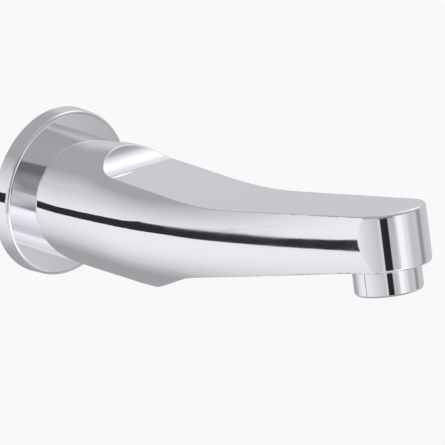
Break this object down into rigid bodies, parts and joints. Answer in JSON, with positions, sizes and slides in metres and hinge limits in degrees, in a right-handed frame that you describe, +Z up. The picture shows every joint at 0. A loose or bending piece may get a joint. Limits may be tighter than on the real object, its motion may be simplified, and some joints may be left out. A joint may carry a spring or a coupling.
{
  "type": "bath spout",
  "caption": "Wall-mounted bath spout with a round flange, a swelling body scooped out on top, a rising flat nose with a round end and an outlet that points down.",
  "frame": {"origin": "middle of the inlet on the wall face, on the axis of the flange and the inlet thread", "axes": "+Y into the wall, -Y along the spout to its outlet, +Z up, +X to the right when facing the wall"},
  "size_m": [0.07, 0.2181, 0.0715],
  "materials": {
    "body_chrome": "polished bright chrome plating on the cast body",
    "flange_chrome": "polished bright chrome plating on the wall flange",
    "outlet_chrome": "polished bright chrome plating on the outlet housing",
    "nipple_brass": "machined brass, lightly turned",
    "grub_steel": "plain stainless steel",
    "seal_rubber": "matt black rubber",
    "washer_fibre": "red-brown vulcanised fibre",
    "wall_foam": "grey closed-cell seal",
    "carrier_plastic": "light grey moulded plastic",
    "cartridge_plastic": "off-white moulded plastic",
    "grid_plastic": "grey moulded plastic",
    "mesh_steel": "fine stainless mesh",
    "regulator_plastic": "green moulded plastic"
  },
  "bodies": {
    "root": {"spout_body": "body_chrome", "wall_flange": "flange_chrome", "flange_carrier": "carrier_plastic", "flange_o_ring": "seal_rubber", "wall_seal": "wall_foam", "inlet_nipple": "nipple_brass", "nipple_washer": "washer_fibre", "nipple_ring_front": "seal_rubber", "nipple_ring_rear": "seal_rubber", "grub_screw": "grub_steel", "aerator_housing": "outlet_chrome", "outlet_washer": "seal_rubber", "cartridge_body": "cartridge_plastic", "stream_grid": "grid_plastic", "screen_lower": "mesh_steel", "screen_spacer": "cartridge_plastic", "screen_upper": "mesh_steel", "diffuser": "cartridge_plastic", "flow_regulator": "regulator_plastic", "regulator_ring": "seal_rubber", "inlet_sieve": "cartridge_plastic"}
  },
  "joints": []
}
